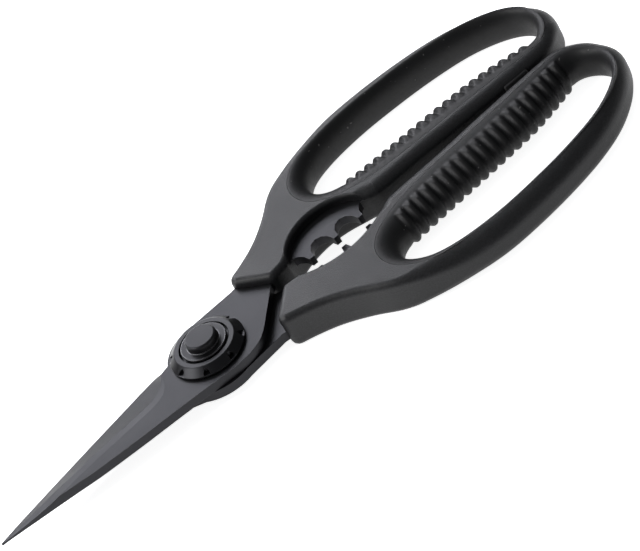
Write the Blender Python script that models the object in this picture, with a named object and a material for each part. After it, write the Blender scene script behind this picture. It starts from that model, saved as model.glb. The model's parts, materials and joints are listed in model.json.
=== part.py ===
"""Poultry shears: two slim blades on a push-button pivot, with looped handles.

The shears lie closed and flat. +X runs from the blade tips to the handles, +Y to the
handle that carries the upper blade, and +Z is up. The origin is the centre of the
bounding box at its lowest level. Every size below is in millimetres and is counted
from the pivot axis, with z = 0 on the upper blade's top face; place() moves it.
"""

import math

import bmesh
import bpy
from mathutils import Vector

MM = 0.001
TIP_X = -83.65
END_X = 151.9
PIVOT_X = -(TIP_X + END_X) / 2.0

# Levels
BLADE_THICKNESS = 3.0
GAP = 0.3
HANDLE_TOP = 3.0
MID_Z = -BLADE_THICKNESS - GAP / 2.0
HANDLE_BOTTOM = 2.0 * MID_Z - HANDLE_TOP
LIFT = -HANDLE_BOTTOM

# Handle
BOW_ROUND = 4.0
SHOULDER_ROUND = 2.1
RAIL_ROUND = 1.8
FRONT_ROUND = 1.0
OUTER_BOW = (
    (17.6, 15.4), (26.0, 18.6), (33.5, 22.6), (41.0, 28.6), (48.5, 36.0), (57.0, 41.6),
    (68.0, 46.4), (80.0, 49.0), (93.0, 49.2), (108.0, 47.9), (122.0, 45.2), (133.5, 40.8),
    (143.2, 33.9), (149.7, 25.6), (END_X, 17.8), (149.8, 9.7), (145.4, 4.5), (140.5, 1.5),
)
RAIL = ((133.0, 0.85), (118.0, 1.15), (104.0, 1.7), (90.0, 2.4), (76.0, 2.6), (70.5, 2.9))
WINDOW_REAR = (68.0, 3.9)
WINDOW_FRONT = (34.6, 3.9)
FRONT_INNER = (28.8, 2.9)
SHALLOW_DEPTH = 5.6
DEEP_DEPTH = 11.4

# Finger loop: the soft grip's parting line, and the opening it leaves
PARTING = (
    (54.5, 25.0), (55.8, 19.2), (59.6, 14.6), (65.5, 11.0), (73.5, 8.6), (88.0, 6.9),
    (105.0, 6.3), (120.0, 5.6), (132.0, 4.7), (141.0, 5.3), (146.2, 10.2), (148.4, 18.0),
    (146.8, 25.6), (140.8, 32.4), (130.0, 38.2), (115.0, 41.6), (99.0, 42.9), (85.0, 43.0),
    (72.0, 41.2), (62.5, 37.4), (56.6, 31.4),
)
OPENING = (
    (59.2, 26.8), (60.4, 22.4), (63.6, 19.4), (69.0, 18.2), (77.5, 18.0), (90.0, 17.8),
    (104.0, 17.3), (118.0, 16.3), (129.0, 13.8), (138.0, 10.9), (142.8, 12.4), (145.7, 17.6),
    (144.2, 24.6), (138.6, 30.4), (128.5, 35.4), (114.4, 38.7), (99.0, 40.4), (86.0, 40.5),
    (74.0, 38.9), (65.6, 35.6), (61.0, 31.4),
)
BUFFER_SPAN = (121.4, 130.6)
BUFFER_BACK = 3.1
RIBS = 20
RIB_HEIGHT = 0.9
RIB_START_X = 66.75
RIB_PITCH = 3.52

# Blades
TIP = (TIP_X, -2.85)
UPPER_SPINE = (
    (-83.4, -3.2), (-64.0, -6.4), (-48.8, -9.1), (-34.2, -10.8), (-19.5, -12.2), (-10.0, -13.2),
)
UPPER_BELLY = ((-10.0, -13.2), (-4.0, -14.1), (2.1, -14.6), (8.0, -14.0), (12.6, -12.2), (16.3, -8.9))
UPPER_HEEL = (-13.2, 6.9)
UPPER_EDGE = ((-15.6, 9.4), (-24.3, 8.2), (-42.0, 5.25), (-59.5, 2.2), (-76.9, -1.0), (-83.4, -2.4))
LOWER_EDGE = ((-83.4, -3.5), (-68.7, -6.8), (-50.7, -9.2), (-32.4, -11.2), (-13.7, -13.4))
LOWER_SPINE = ((-15.0, 8.9), (-32.0, 6.2), (-50.0, 3.1), (-68.0, -0.1), (-83.4, -2.6))
PLATE_RADIUS = 13.6
BELLY_RADIUS = 15.6
UPPER_FLAT = (
    (-83.0, -7.5), (-64.0, -6.5), (-42.5, -5.2), (-26.1, -4.1), (-20.7, -2.9), (-17.5, -0.7),
    (-15.6, 3.4), (-14.0, 7.2),
)
HEEL_LAG = 2.2
GRIND_WIDTH = 2.9
GRIND_DROP = 0.35
EDGE_LAND = 0.15

UPPER_TANG_INNER = ((28.0, 4.4), (31.0, 6.0), (35.0, 6.5))
LOWER_TANG_INNER = ((22.0, -5.0), (29.5, -1.9), (34.0, -1.4), (35.8, 1.2))
TANG_OUTER = (
    (68.6, 6.4), (65.0, 9.2), (60.0, 12.6), (55.2, 15.4), (51.6, 18.2), (46.5, 19.4),
    (40.0, 18.2), (30.0, 15.4), (18.0, 13.7),
)

# Scalloped jaws
FIRST_TOOTH_X = 42.0
TOOTH_PITCH = 9.7
TOOTH_TIP = 0.9
TOOTH_HALF = 0.9
VALLEY_DEPTH = 5.6

# Pivot
SHANK_R = 5.2
SHANK_FLAT = 4.4
BUSH_R = 7.2
THREAD_R = 4.6
HEAD_R = 9.5
HEAD_BOTTOM = -8.9
WASHER_R = 10.7
WASHER_THICKNESS = 0.55
RING_BASE_R = 12.4
RING_TOP_R = 9.9
RING_BORE_R = 8.2
RING_TOP = 3.05
RING_FLOOR = 1.5
NOTCHES = 8
NOTCH_PHASE = 13.5
NOTCH_WIDTH = 2.4
FLANGE_R = 7.6
BOSS_R = 5.15
BUTTON_TOP = 6.05
STEM_R = 2.0
CHAMBER_R = 2.6
STEPS = 48


def clear_scene():
    for old in list(bpy.data.objects):
        bpy.data.objects.remove(old, do_unlink=True)


def material(name, colour, roughness, metallic):
    made = bpy.data.materials.new(name)
    made.use_nodes = True
    made.diffuse_color = (*colour, 1.0)
    shader = made.node_tree.nodes["Principled BSDF"]
    shader.inputs["Base Color"].default_value = (*colour, 1.0)
    shader.inputs["Roughness"].default_value = roughness
    shader.inputs["Metallic"].default_value = metallic
    return made


def place(x, y, z):
    """A point counted from the pivot axis, in the object's own frame, in metres."""
    return Vector(((x + PIVOT_X) * MM, y * MM, (z + LIFT) * MM))


def finish_mesh(name, bm, coat, helper=False, smooth=True):
    """Makes the object with its origin on the pivot axis, so that moving pieces turn about it."""
    bmesh.ops.remove_doubles(bm, verts=bm.verts, dist=1e-6)
    bmesh.ops.recalc_face_normals(bm, faces=bm.faces)
    origin = place(0.0, 0.0, 0.0)
    bmesh.ops.translate(bm, verts=bm.verts, vec=-origin)
    mesh = bpy.data.meshes.new(name)
    bm.to_mesh(mesh)
    bm.free()
    made = bpy.data.objects.new(name, mesh)
    made.location = origin
    bpy.context.scene.collection.objects.link(made)
    if helper:
        made.hide_render = True
        made.display_type = "WIRE"
        return made
    mesh.materials.append(coat)
    if smooth:
        mesh.shade_smooth()
        mesh.set_sharp_from_angle(angle=math.radians(32.0))
    return made


def cut(target, cutter):
    boolean = target.modifiers.new(cutter.name, "BOOLEAN")
    boolean.operation = "DIFFERENCE"
    boolean.solver = "EXACT"
    boolean.object = cutter


def spline(points, steps, closed=False):
    """Points on a smooth curve through the given ones, with steps between each pair."""
    count = len(points)
    spans = count if closed else count - 1
    made = []
    for span in range(spans):
        if closed:
            a, b, c, d = (points[(span + k - 1) % count] for k in range(4))
        else:
            a, b, c, d = (points[min(max(span + k - 1, 0), count - 1)] for k in range(4))
        for step in range(steps):
            t = step / steps
            made.append(
                tuple(
                    0.5 * (2.0 * b[k] + (c[k] - a[k]) * t
                           + (2.0 * a[k] - 5.0 * b[k] + 4.0 * c[k] - d[k]) * t * t
                           + (3.0 * b[k] - a[k] - 3.0 * c[k] + d[k]) * t ** 3)
                    for k in range(2)
                )
            )
    if not closed:
        made.append(points[-1])
    return made


def bulge(start, end, depth, steps):
    """Points on the arc from start to end that rises by depth to the left of that line."""
    chord = math.dist(start, end)
    radius = (chord * chord / 4.0 + depth * depth) / (2.0 * depth)
    half = math.asin(chord / 2.0 / radius)
    along = ((end[0] - start[0]) / chord, (end[1] - start[1]) / chord)
    left = (-along[1], along[0])
    made = []
    for step in range(steps + 1):
        turn = -half + 2.0 * half * step / steps
        run = radius * math.sin(turn) + chord / 2.0
        rise = radius * math.cos(turn) - (radius - depth)
        made.append((start[0] + along[0] * run + left[0] * rise, start[1] + along[1] * run + left[1] * rise))
    return made


def arc(radius, start, end, steps):
    """Points on a circle about the pivot, between two angles in degrees."""
    made = []
    for step in range(steps + 1):
        turn = math.radians(start + (end - start) * step / steps)
        made.append((radius * math.cos(turn), radius * math.sin(turn)))
    return made


def ramp(value, low, high):
    """0 below low, 1 above high, and even in between."""
    return min(max((value - low) / (high - low), 0.0), 1.0)


def mirrored(points):
    """The outline on the other side of the shears' long axis, still anticlockwise."""
    return [(x, -y) for x, y in reversed(points)]


def inset(outline, amounts):
    """The anticlockwise outline moved inwards by its own amount at each corner."""
    count = len(outline)
    made = []
    for index, point in enumerate(outline):
        here = Vector(point)
        before = (here - Vector(outline[index - 1])).normalized()
        after = (Vector(outline[(index + 1) % count]) - here).normalized()
        normal = Vector((-before.y - after.y, before.x + after.x)).normalized()
        side = Vector((-before.y, before.x))
        reach = amounts[index] / max(normal.dot(side), 0.45)
        made.append(tuple(here + normal * reach))
    return made


def skin(bm, rings, caps=True):
    """Joins rings of points into one closed surface."""
    loops = [[bm.verts.new(place(*point)) for point in ring] for ring in rings]
    count = len(loops[0])
    for lower, upper in zip(loops, loops[1:]):
        for k in range(count):
            bm.faces.new((lower[k], lower[(k + 1) % count], upper[(k + 1) % count], upper[k]))
    if caps:
        bm.faces.new(tuple(reversed(loops[0])))
        bm.faces.new(tuple(loops[-1]))
    else:
        for k in range(count):
            bm.faces.new((loops[-1][k], loops[-1][(k + 1) % count], loops[0][(k + 1) % count], loops[0][k]))
    return bm


def pillow(name, outline, radii, low, high, coat, steps=3):
    """A flat slab between two levels with its edges rounded by a radius at each corner."""
    rings = []
    for side in (-1.0, 1.0):
        for step in range(steps + 1):
            turn = math.pi / 2.0 * (steps - step if side < 0.0 else step) / steps
            outlined = inset(outline, [radius * (1.0 - math.cos(turn)) for radius in radii])
            level = low if side < 0.0 else high
            rings.append(
                [(x, y, level - side * radius * (1.0 - math.sin(turn)))
                 for (x, y), radius in zip(outlined, radii)]
            )
    return finish_mesh(name, skin(bmesh.new(), rings), coat)


def prism(name, outline, low, high, coat=None):
    rings = [[(x, y, level) for x, y in outline] for level in (low, high)]
    return finish_mesh(name, skin(bmesh.new(), rings), coat, helper=coat is None)


def lathe(name, profile, coat, steps=STEPS):
    """Turns a closed profile of (radius, z) about the pivot axis."""
    bm = bmesh.new()
    loops = []
    for step in range(steps):
        turn = 2.0 * math.pi * step / steps
        loops.append([(r * math.cos(turn), r * math.sin(turn), z) for r, z in profile])
    touching = [k for k, (r, z) in enumerate(profile) if r == 0.0]
    verts = [[bm.verts.new(place(*point)) for point in loop] for loop in loops]
    count = len(profile)
    for step in range(steps):
        here = verts[step]
        there = verts[(step + 1) % steps]
        for k in range(count):
            after = (k + 1) % count
            if k in touching and after in touching:
                continue
            if k in touching:
                bm.faces.new((here[k], there[after], here[after]))
            elif after in touching:
                bm.faces.new((here[k], there[k], here[after]))
            else:
                bm.faces.new((here[k], there[k], there[after], here[after]))
    return finish_mesh(name, bm, coat, helper=coat is None)


def double_d(radius, flat, steps):
    """A circle about the pivot with two flats, one on each side of the X axis."""
    half = math.degrees(math.asin(flat / radius))
    return arc(radius, -half, half, steps) + arc(radius, 180.0 - half, 180.0 + half, steps)


def handle_outline():
    """The +Y handle's outline, with the edge radius at each of its points."""
    bow = spline(OUTER_BOW + RAIL, 3)
    split = 3 * (len(OUTER_BOW) - 1)
    radii = [SHOULDER_ROUND + (BOW_ROUND - SHOULDER_ROUND) * ramp(x, 52.0, 76.0) for x, _ in bow[:split]]
    radii += [RAIL_ROUND] * (len(bow) - split)
    radii[0] = FRONT_ROUND
    radii[1] = 0.5 * (FRONT_ROUND + SHOULDER_ROUND)
    for step in range(4):
        radii[split - 1 - step] += (RAIL_ROUND - BOW_ROUND) * (4 - step) / 5.0
    window = list(reversed(bulge(WINDOW_FRONT, WINDOW_REAR, SHALLOW_DEPTH, 12)))
    points = bow + window + [FRONT_INNER]
    radii += [FRONT_ROUND] * (len(window) + 1)
    return list(reversed(points)), list(reversed(radii))


def jaw_outline():
    """The scalloped edge of the +Y jaw from its first valley to its last one."""
    made = []
    half = TOOTH_PITCH / 2.0 - TOOTH_HALF
    for valley in range(4):
        centre = FIRST_TOOTH_X + (valley - 0.5) * TOOTH_PITCH
        for step in range(7):
            across = math.cos(math.pi * (6 - step) / 6.0)
            if (valley == 0 and across < 0.0) or (valley == 3 and across > 0.1):
                continue
            rise = VALLEY_DEPTH * math.sqrt(max(0.0, 1.0 - across * across))
            made.append((centre + half * across, TOOTH_TIP + rise))
    return made


def tang_outline(side):
    """The part of a blade that its handle holds, as if it were the +Y handle's."""
    inner = UPPER_TANG_INNER if side > 0 else LOWER_TANG_INNER
    return list(inner) + jaw_outline() + list(TANG_OUTER)


def upper_blade_outline():
    outline = [TIP] + spline(UPPER_SPINE, 2)[:-1] + spline(UPPER_BELLY, 2)
    outline += tang_outline(1)
    outline += arc(PLATE_RADIUS, 88.0, 152.0, 8) + [UPPER_HEEL]
    return outline + spline(UPPER_EDGE, 2)


def lower_blade_outline():
    outline = [TIP] + spline(LOWER_EDGE, 2) + arc(BELLY_RADIUS, -136.0, -76.0, 8)
    outline += mirrored(tang_outline(-1)) + [(16.3, 9.4)]
    outline += arc(PLATE_RADIUS - 0.6, 48.0, 148.0, 10)
    return outline + spline(LOWER_SPINE, 2)


def ground_face(name, edge, flat, top):
    """The stone's path: a solid that leaves the ground face when it is cut from the blade.

    top is 1 for the upper blade, ground on its top face, and -1 for the lower one.
    """
    rings = []
    base = 0.0 if top > 0 else 2.0 * MID_Z
    edge_z = -BLADE_THICKNESS + EDGE_LAND
    for (x, y_edge), (_, y_flat) in zip(edge, flat):
        side = 1.0 if y_edge > y_flat else -1.0
        y_low = y_flat + side * min(GRIND_WIDTH, 0.45 * abs(y_edge - y_flat))
        slope = (edge_z + GRIND_DROP) / (y_edge - y_low)
        outer = y_edge + side * 3.0
        section = [
            (y_flat - side * 4.0, 0.4),
            (y_flat, 0.0),
            (y_low, -GRIND_DROP),
            (outer, edge_z + slope * (outer - y_edge)),
            (outer, 4.0),
            (y_flat - side * 4.0, 4.0),
        ]
        if side * top < 0.0:
            section.reverse()
        rings.append([(x, y, base + top * z) for y, z in section])
    return finish_mesh(name, skin(bmesh.new(), rings), None, helper=True)


def level_at(points, x):
    """The y of a line of points at x."""
    ordered = sorted(points)
    for (x0, y0), (x1, y1) in zip(ordered, ordered[1:]):
        if x0 <= x <= x1:
            return y0 + (y1 - y0) * (x - x0) / (x1 - x0)
    (x0, y0), (x1, y1) = ordered[:2] if x < ordered[0][0] else ordered[-2:]
    return y0 + (y1 - y0) * (x - x0) / (x1 - x0)


def build_blades(steel):
    stations = (-90.0, -76.0, -64.0, -53.0, -42.5, -34.0, -26.1, -20.7, -17.5, -15.6, -14.0)
    upper_edge = [(x, level_at(UPPER_EDGE, x)) for x in stations]
    upper_flat = [(x, level_at(UPPER_FLAT, x)) for x in stations]
    upper = prism("upper_blade", upper_blade_outline(), -BLADE_THICKNESS, 0.0, steel)
    cut(upper, ground_face("cut_upper_grind", upper_edge, upper_flat, 1))
    cut(upper, prism("cut_bush_bore", arc(BUSH_R + GAP, 0.0, 352.5, STEPS - 1), -5.0, 2.0))
    lower_edge = [(x + HEEL_LAG, level_at(LOWER_EDGE, x + HEEL_LAG)) for x in stations]
    lower_flat = [
        (x, y_edge + (up - flat)) for (x, y_edge), (_, up), (_, flat)
        in zip(lower_edge, upper_edge, upper_flat)
    ]
    low = 2.0 * MID_Z
    lower = prism("lower_blade", lower_blade_outline(), low, low + BLADE_THICKNESS, steel)
    cut(lower, ground_face("cut_lower_grind", lower_edge, lower_flat, -1))
    cut(lower, prism("cut_shank_bore", double_d(SHANK_R + GAP, SHANK_FLAT + GAP, 12), low - 1.0, 0.0))
    recess = arc(WASHER_R + GAP, 0.0, 352.5, STEPS - 1)
    floor = low + BLADE_THICKNESS - WASHER_THICKNESS - GAP
    cut(lower, prism("cut_washer_recess", recess, floor, 0.0))


def grip_section(parting, opening, rib):
    """One slice through the soft grip, from its outer wall round its rounded inner face."""
    low = HANDLE_BOTTOM
    high = HANDLE_TOP
    inward = Vector(opening) - Vector(parting)
    width = inward.length
    inward.normalize()
    start = Vector(parting) + inward * GAP
    round_depth = min(0.8 * (width - GAP), 7.0)
    base = start + inward * (width - GAP - round_depth)
    half = (high - low) / 2.0
    section = [(start.x, start.y, low)]
    for step in range(7):
        turn = -math.pi / 2.0 + math.pi * step / 6.0
        reach = (round_depth + rib * (math.cos(turn) ** 0.5 if 0 < step < 6 else 0.0)) * math.cos(turn)
        point = base + inward * max(reach, 0.0)
        section.append((point.x, point.y, MID_Z + half * math.sin(turn)))
    section.append((start.x, start.y, high))
    return section


def build_grip(name, side, soft):
    """The soft lining of one finger loop, with ribs along its inner straight."""
    fine = 10
    parting = spline(PARTING, fine, closed=True)
    opening = spline(OPENING, fine, closed=True)
    along = [index / fine for index in range(len(opening))]
    picked = []
    for index in range(0, len(opening)):
        x = opening[index][0]
        on_rail = 2.6 <= along[index] <= 9.05
        if not on_rail and index % (fine // 2) == 0:
            picked.append((parting[index], opening[index], 0.0))
        elif on_rail:
            picked.append((parting[index], opening[index], None))
    rail = [item for item in picked if item[2] is None]
    first = picked.index(rail[0])
    picked = [item for item in picked if item[2] is not None]
    samples = []
    for half_rib in range(RIBS * 3 + 1):
        x = RIB_START_X + half_rib * RIB_PITCH / 3.0
        rise = 0.0 if half_rib % 3 == 0 else RIB_HEIGHT
        samples.append((sample(rail, 0, x), sample(rail, 1, x), rise))
    picked[first:first] = samples
    rings = []
    for lined, open_point, rise in picked:
        ring = grip_section(lined, open_point, rise)
        rings.append([(x, side * y, z) for x, y, z in ring])
    rings.reverse()
    return finish_mesh(name, skin(bmesh.new(), rings, caps=False), soft)


def sample(items, which, x):
    """The point of the rail whose opening lies at x, on the parting line or the opening."""
    for before, after in zip(items, items[1:]):
        x0, x1 = before[1][0], after[1][0]
        if x0 <= x <= x1:
            share = (x - x0) / (x1 - x0)
            return tuple(before[which][k] + (after[which][k] - before[which][k]) * share for k in range(2))
    return items[-1][which] if x > items[-1][1][0] else items[0][which]


def handed(outline, side):
    return list(outline) if side > 0 else mirrored(outline)


def flipped(low, high, side):
    """Levels for the other handle, whose tang lies one blade lower."""
    return (low, high) if side > 0 else (2.0 * MID_Z - high, 2.0 * MID_Z - low)


def build_handle(name, side, hard, rubber):
    tag = name.split("_")[0]
    outline, radii = handle_outline()
    if side < 0:
        outline, radii = mirrored(outline), list(reversed(radii))
    body = pillow(name, outline, radii, HANDLE_BOTTOM, HANDLE_TOP, hard)
    pocket = handed(spline(PARTING, 4, closed=True), side)
    cut(body, prism(f"cut_{tag}_loop", pocket, HANDLE_BOTTOM - 2.0, HANDLE_TOP + 2.0))
    tang = handed(tang_outline(side) + [(12.0, 13.7), (12.0, -6.0)], side)
    tang = inset(tang, [-GAP] * len(tang))
    low, high = flipped(-BLADE_THICKNESS - GAP, GAP, side)
    cut(body, prism(f"cut_{tag}_tang", tang, low, high))
    cut(body, deep_recess(f"cut_{tag}_recess", side))
    front, rear = BUFFER_SPAN
    seat = [(front, -2.0), (rear, -2.0), (rear, BUFFER_BACK), (front, BUFFER_BACK)]
    cut(body, prism(f"cut_{tag}_seat", handed(seat, side), HANDLE_BOTTOM - 2.0, HANDLE_TOP + 2.0))
    back = BUFFER_BACK - GAP
    pad = [(front + GAP, GAP), (rear - GAP, GAP), (rear - GAP, back), (front + GAP, back)]
    radii = [RAIL_ROUND, RAIL_ROUND, GAP, GAP]
    if side < 0:
        radii.reverse()
    pillow(f"{tag}_buffer", handed(pad, side), radii, HANDLE_BOTTOM + 0.1, HANDLE_TOP - 0.1, rubber)
    return body


def deep_recess(name, side):
    """The deeper recess that shows the jaw plate's back, with its mouth's edge rounded."""
    front = (WINDOW_FRONT[0] + 0.5, WINDOW_FRONT[1] - 0.9)
    rear = (WINDOW_REAR[0] - 0.6, WINDOW_REAR[1] - 0.9)
    wall = list(reversed(bulge(front, rear, DEEP_DEPTH, 14)))
    foot = [(front[0], -1.0), (rear[0], -1.0)]
    rings = []
    for z, flare in ((0.1, 0.0), (HANDLE_TOP - 1.0, 0.0), (HANDLE_TOP - 0.3, 0.3), (HANDLE_TOP + 0.3, 1.3)):
        share = [flare * math.sin(math.pi * k / (len(wall) - 1)) for k in range(len(wall))]
        outline = inset(wall + foot, [-amount for amount in share] + [0.0, 0.0])
        level = z if side > 0 else 2.0 * MID_Z - z
        rings.append([(x, y, level) for x, y in handed(outline, side)])
    if side < 0:
        rings.reverse()
    return finish_mesh(name, skin(bmesh.new(), rings), None, helper=True)


def build_pivot(black, brass, steel, nylon):
    low = 2.0 * MID_Z
    head_top = low - GAP
    stud = lathe(
        "pivot_stud",
        (
            (1.3, -5.4), (1.3, -7.1), (2.7, -7.1), (2.7, HEAD_BOTTOM), (HEAD_R - 0.8, HEAD_BOTTOM),
            (HEAD_R, HEAD_BOTTOM + 0.8), (HEAD_R, head_top), (SHANK_R, head_top),
            (SHANK_R, GAP), (THREAD_R, GAP + 0.1), (THREAD_R, RING_FLOOR - 0.3),
            (THREAD_R - 0.3, RING_FLOOR), (CHAMBER_R, RING_FLOOR), (CHAMBER_R, -5.4),
        ),
        steel,
    )
    for side, word in ((1, "far"), (-1, "near")):
        block = [(-7.0, SHANK_FLAT), (7.0, SHANK_FLAT), (7.0, 8.0), (-7.0, 8.0)]
        cut(stud, prism(f"cut_flat_{word}", handed(block, side), head_top, low + BLADE_THICKNESS - 0.6))
    lathe("pivot_bush", ((SHANK_R + GAP, -3.0), (BUSH_R, -3.0), (BUSH_R, 0.0), (SHANK_R + GAP, 0.0)), brass)
    washer_top = low + BLADE_THICKNESS
    inner = SHANK_R + GAP
    lathe(
        "blade_washer",
        (
            (inner, washer_top - WASHER_THICKNESS), (WASHER_R, washer_top - WASHER_THICKNESS),
            (WASHER_R, washer_top), (inner, washer_top),
        ),
        nylon,
    )
    lathe("spring_washer", ((SHANK_R + 0.1, 0.45), (8.9, 0.3), (8.9, 0.7), (SHANK_R + 0.1, 0.85)), steel)
    ring = lathe(
        "tension_ring",
        (
            (9.2, GAP), (RING_BASE_R, GAP), (RING_BASE_R, 0.9), (RING_TOP_R + 0.25, 2.85),
            (RING_TOP_R - 0.1, RING_TOP), (RING_BORE_R, RING_TOP), (RING_BORE_R, RING_FLOOR),
            (THREAD_R + GAP, RING_FLOOR), (THREAD_R + GAP, 1.15), (9.2, 1.15),
        ),
        black,
    )
    for notch in range(NOTCHES):
        turn = math.radians(NOTCH_PHASE) + 2.0 * math.pi * notch / NOTCHES
        half = NOTCH_WIDTH / 2.0
        wedge = ((10.4, -half), (13.5, -half), (13.5, half), (10.4, half), (10.0, 0.0))
        outline = [
            (r * math.cos(turn) - s * math.sin(turn), r * math.sin(turn) + s * math.cos(turn))
            for r, s in wedge
        ]
        cut(ring, prism(f"cut_notch_{notch:02d}", outline, 1.3, 4.0))
    lathe(
        "release_button",
        (
            (0.0, BUTTON_TOP), (0.0, 0.6), (1.1, 0.6), (1.1, -1.2), (STEM_R, -1.2), (STEM_R, 2.6),
            (FLANGE_R, 2.6), (FLANGE_R, 3.25), (FLANGE_R - 0.25, 3.5), (BOSS_R, 3.5),
            (BOSS_R, BUTTON_TOP - 0.55), (BOSS_R - 0.55, BUTTON_TOP),
        ),
        black,
    )
    lathe(
        "button_screw",
        (
            (0.0, 0.2), (0.0, -8.1), (2.1, -8.1), (2.3, -7.9), (2.3, -7.4), (0.8, -7.4),
            (0.8, 0.2),
        ),
        steel,
        steps=24,
    )


def build_spring(steel):
    """The button's return spring, a coil round the button screw."""
    turns, per_turn, wire, radius = 4.0, 14, 0.28, 1.8
    low, high = -4.8, -1.8
    rings = []
    for step in range(int(turns * per_turn) + 1):
        turn = 2.0 * math.pi * step / per_turn
        centre_z = low + (high - low) * step / (turns * per_turn)
        ring = []
        for corner in range(6):
            bend = 2.0 * math.pi * corner / 6.0
            reach = radius + wire * math.cos(bend)
            ring.append((reach * math.cos(turn), reach * math.sin(turn), centre_z + wire * math.sin(bend)))
        rings.append(ring)
    finish_mesh("button_spring", skin(bmesh.new(), rings), steel)


def main():
    clear_scene()
    blade_steel = material("coated_blade_steel", (0.05, 0.05, 0.055), 0.38, 0.9)
    hard = material("hard_handle_plastic", (0.028, 0.029, 0.031), 0.55, 0.0)
    soft = material("soft_grip_rubber", (0.02, 0.02, 0.021), 0.75, 0.0)
    rubber = material("buffer_rubber", (0.03, 0.03, 0.032), 0.7, 0.0)
    black = material("black_pivot_metal", (0.035, 0.036, 0.04), 0.35, 0.8)
    steel = material("bare_steel", (0.45, 0.46, 0.48), 0.35, 1.0)
    brass = material("bush_bronze", (0.55, 0.38, 0.16), 0.4, 1.0)
    nylon = material("washer_nylon", (0.7, 0.7, 0.66), 0.5, 0.0)
    build_blades(blade_steel)
    build_handle("far_handle", 1, hard, rubber)
    build_handle("near_handle", -1, hard, rubber)
    build_grip("far_grip", 1.0, soft)
    build_grip("near_grip", -1.0, soft)
    build_pivot(black, brass, steel, nylon)
    build_spring(steel)


main()
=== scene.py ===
"""The looks of the poultry shears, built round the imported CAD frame.

Lengths are in millimetres counted from the pivot axis, with z = 0 on the upper blade's
top face, as in the CAD source; place() turns them into the frame's metres. The handles,
the soft grips, the stop pads, both blades, the tension ring and the release button get
finer meshes of their own. The other CAD nodes keep their shapes, with fine bevels on
their edges.
"""

import json
import math

import bmesh
import bpy
from mathutils import Matrix, Vector

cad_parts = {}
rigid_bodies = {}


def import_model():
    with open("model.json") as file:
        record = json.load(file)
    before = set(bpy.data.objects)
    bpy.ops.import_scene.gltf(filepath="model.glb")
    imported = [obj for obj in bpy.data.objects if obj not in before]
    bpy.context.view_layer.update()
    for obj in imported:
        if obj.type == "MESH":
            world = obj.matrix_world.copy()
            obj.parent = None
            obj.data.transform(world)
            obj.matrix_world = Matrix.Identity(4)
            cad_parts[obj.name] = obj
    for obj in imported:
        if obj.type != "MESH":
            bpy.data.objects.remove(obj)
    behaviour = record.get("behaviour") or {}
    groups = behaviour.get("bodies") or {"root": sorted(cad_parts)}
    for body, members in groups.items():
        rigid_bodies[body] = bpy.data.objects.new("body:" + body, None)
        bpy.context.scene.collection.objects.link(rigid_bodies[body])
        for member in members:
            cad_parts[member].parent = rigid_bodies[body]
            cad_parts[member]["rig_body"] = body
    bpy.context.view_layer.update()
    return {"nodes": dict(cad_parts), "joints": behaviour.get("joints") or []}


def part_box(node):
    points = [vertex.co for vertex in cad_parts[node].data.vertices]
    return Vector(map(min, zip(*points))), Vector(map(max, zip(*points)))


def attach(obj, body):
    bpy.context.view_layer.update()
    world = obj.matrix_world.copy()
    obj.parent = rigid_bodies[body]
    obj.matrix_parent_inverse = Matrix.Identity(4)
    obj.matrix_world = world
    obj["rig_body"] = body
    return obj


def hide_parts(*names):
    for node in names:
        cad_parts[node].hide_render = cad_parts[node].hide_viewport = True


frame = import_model()
NODES = frame["nodes"]
JOINTS = {joint["name"]: joint for joint in frame["joints"]}

MM = 0.001
PIVOT_X = JOINTS["blade_pivot"]["pos_m"][0]
BLADE_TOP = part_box("upper_blade")[1].z
HANDLE_TOP = (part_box("far_handle")[1].z - BLADE_TOP) / MM
HANDLE_BOTTOM = (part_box("far_handle")[0].z - BLADE_TOP) / MM
END_X = (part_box("far_handle")[1].x - PIVOT_X) / MM
BLADE_THICKNESS = (BLADE_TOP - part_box("upper_blade")[0].z) / MM
MID_Z = (HANDLE_TOP + HANDLE_BOTTOM) / 2.0
EDGE_BEVEL = 0.10
PAST = 2.0

# Gaps: round the grip on the rail and on the bow, down to its tongue, and round a tang
SEAM = 0.12
BOW_SEAM = 0.03
TONGUE_DEPTH = 0.9
SLOT_GAP = 0.15

# Handle shell: edge radii, and how much wider than high the oval edges are
BOW_ROUND = 4.8
OVAL = 1.37
SHOULDER_ROUND = 2.1
RAIL_ROUND = 3.0
FRONT_ROUND = 2.2
NOSE_ROUND = 2.8
SHOULDER_X = (18.0, 30.0)
BOW_X = (46.0, 72.0)
BOW_END_X = 120.0
BOW_END_Y = (14.0, 2.0)
EDGE_STEPS = 9
OUTLINE_STEPS = 8
CORNER_STEPS = 6
OUTER_BOW = (
    (17.6, 15.4), (26.0, 18.6), (33.5, 22.6), (41.0, 28.6), (48.5, 36.0), (57.0, 41.6),
    (68.0, 46.4), (80.0, 49.0), (93.0, 49.2), (108.0, 47.9), (122.0, 45.2), (133.5, 40.8),
    (143.2, 33.9), (149.7, 25.6), (END_X, 17.8), (149.8, 9.7), (145.4, 4.5), (140.5, 1.5),
)
RAIL = ((133.0, 0.85), (118.0, 1.15), (104.0, 1.7), (90.0, 2.4), (76.0, 2.6), (70.5, 2.9))
WINDOW_REAR = (68.0, 3.9)
WINDOW_FRONT = (34.6, 3.9)
FRONT_INNER = (28.8, 2.9)
SHALLOW_DEPTH = 5.6
WINDOW_STEPS = 36
DEEP_REAR = (WINDOW_REAR[0] - 0.6, WINDOW_REAR[1] - 0.9)
DEEP_FRONT = (WINDOW_FRONT[0] + 0.5, WINDOW_FRONT[1] - 0.9)
DEEP_DEPTH = 11.4
DEEP_FLOOR = 0.05
DEEP_STEPS = 40
MOUTH_ROUND = 1.3

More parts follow.
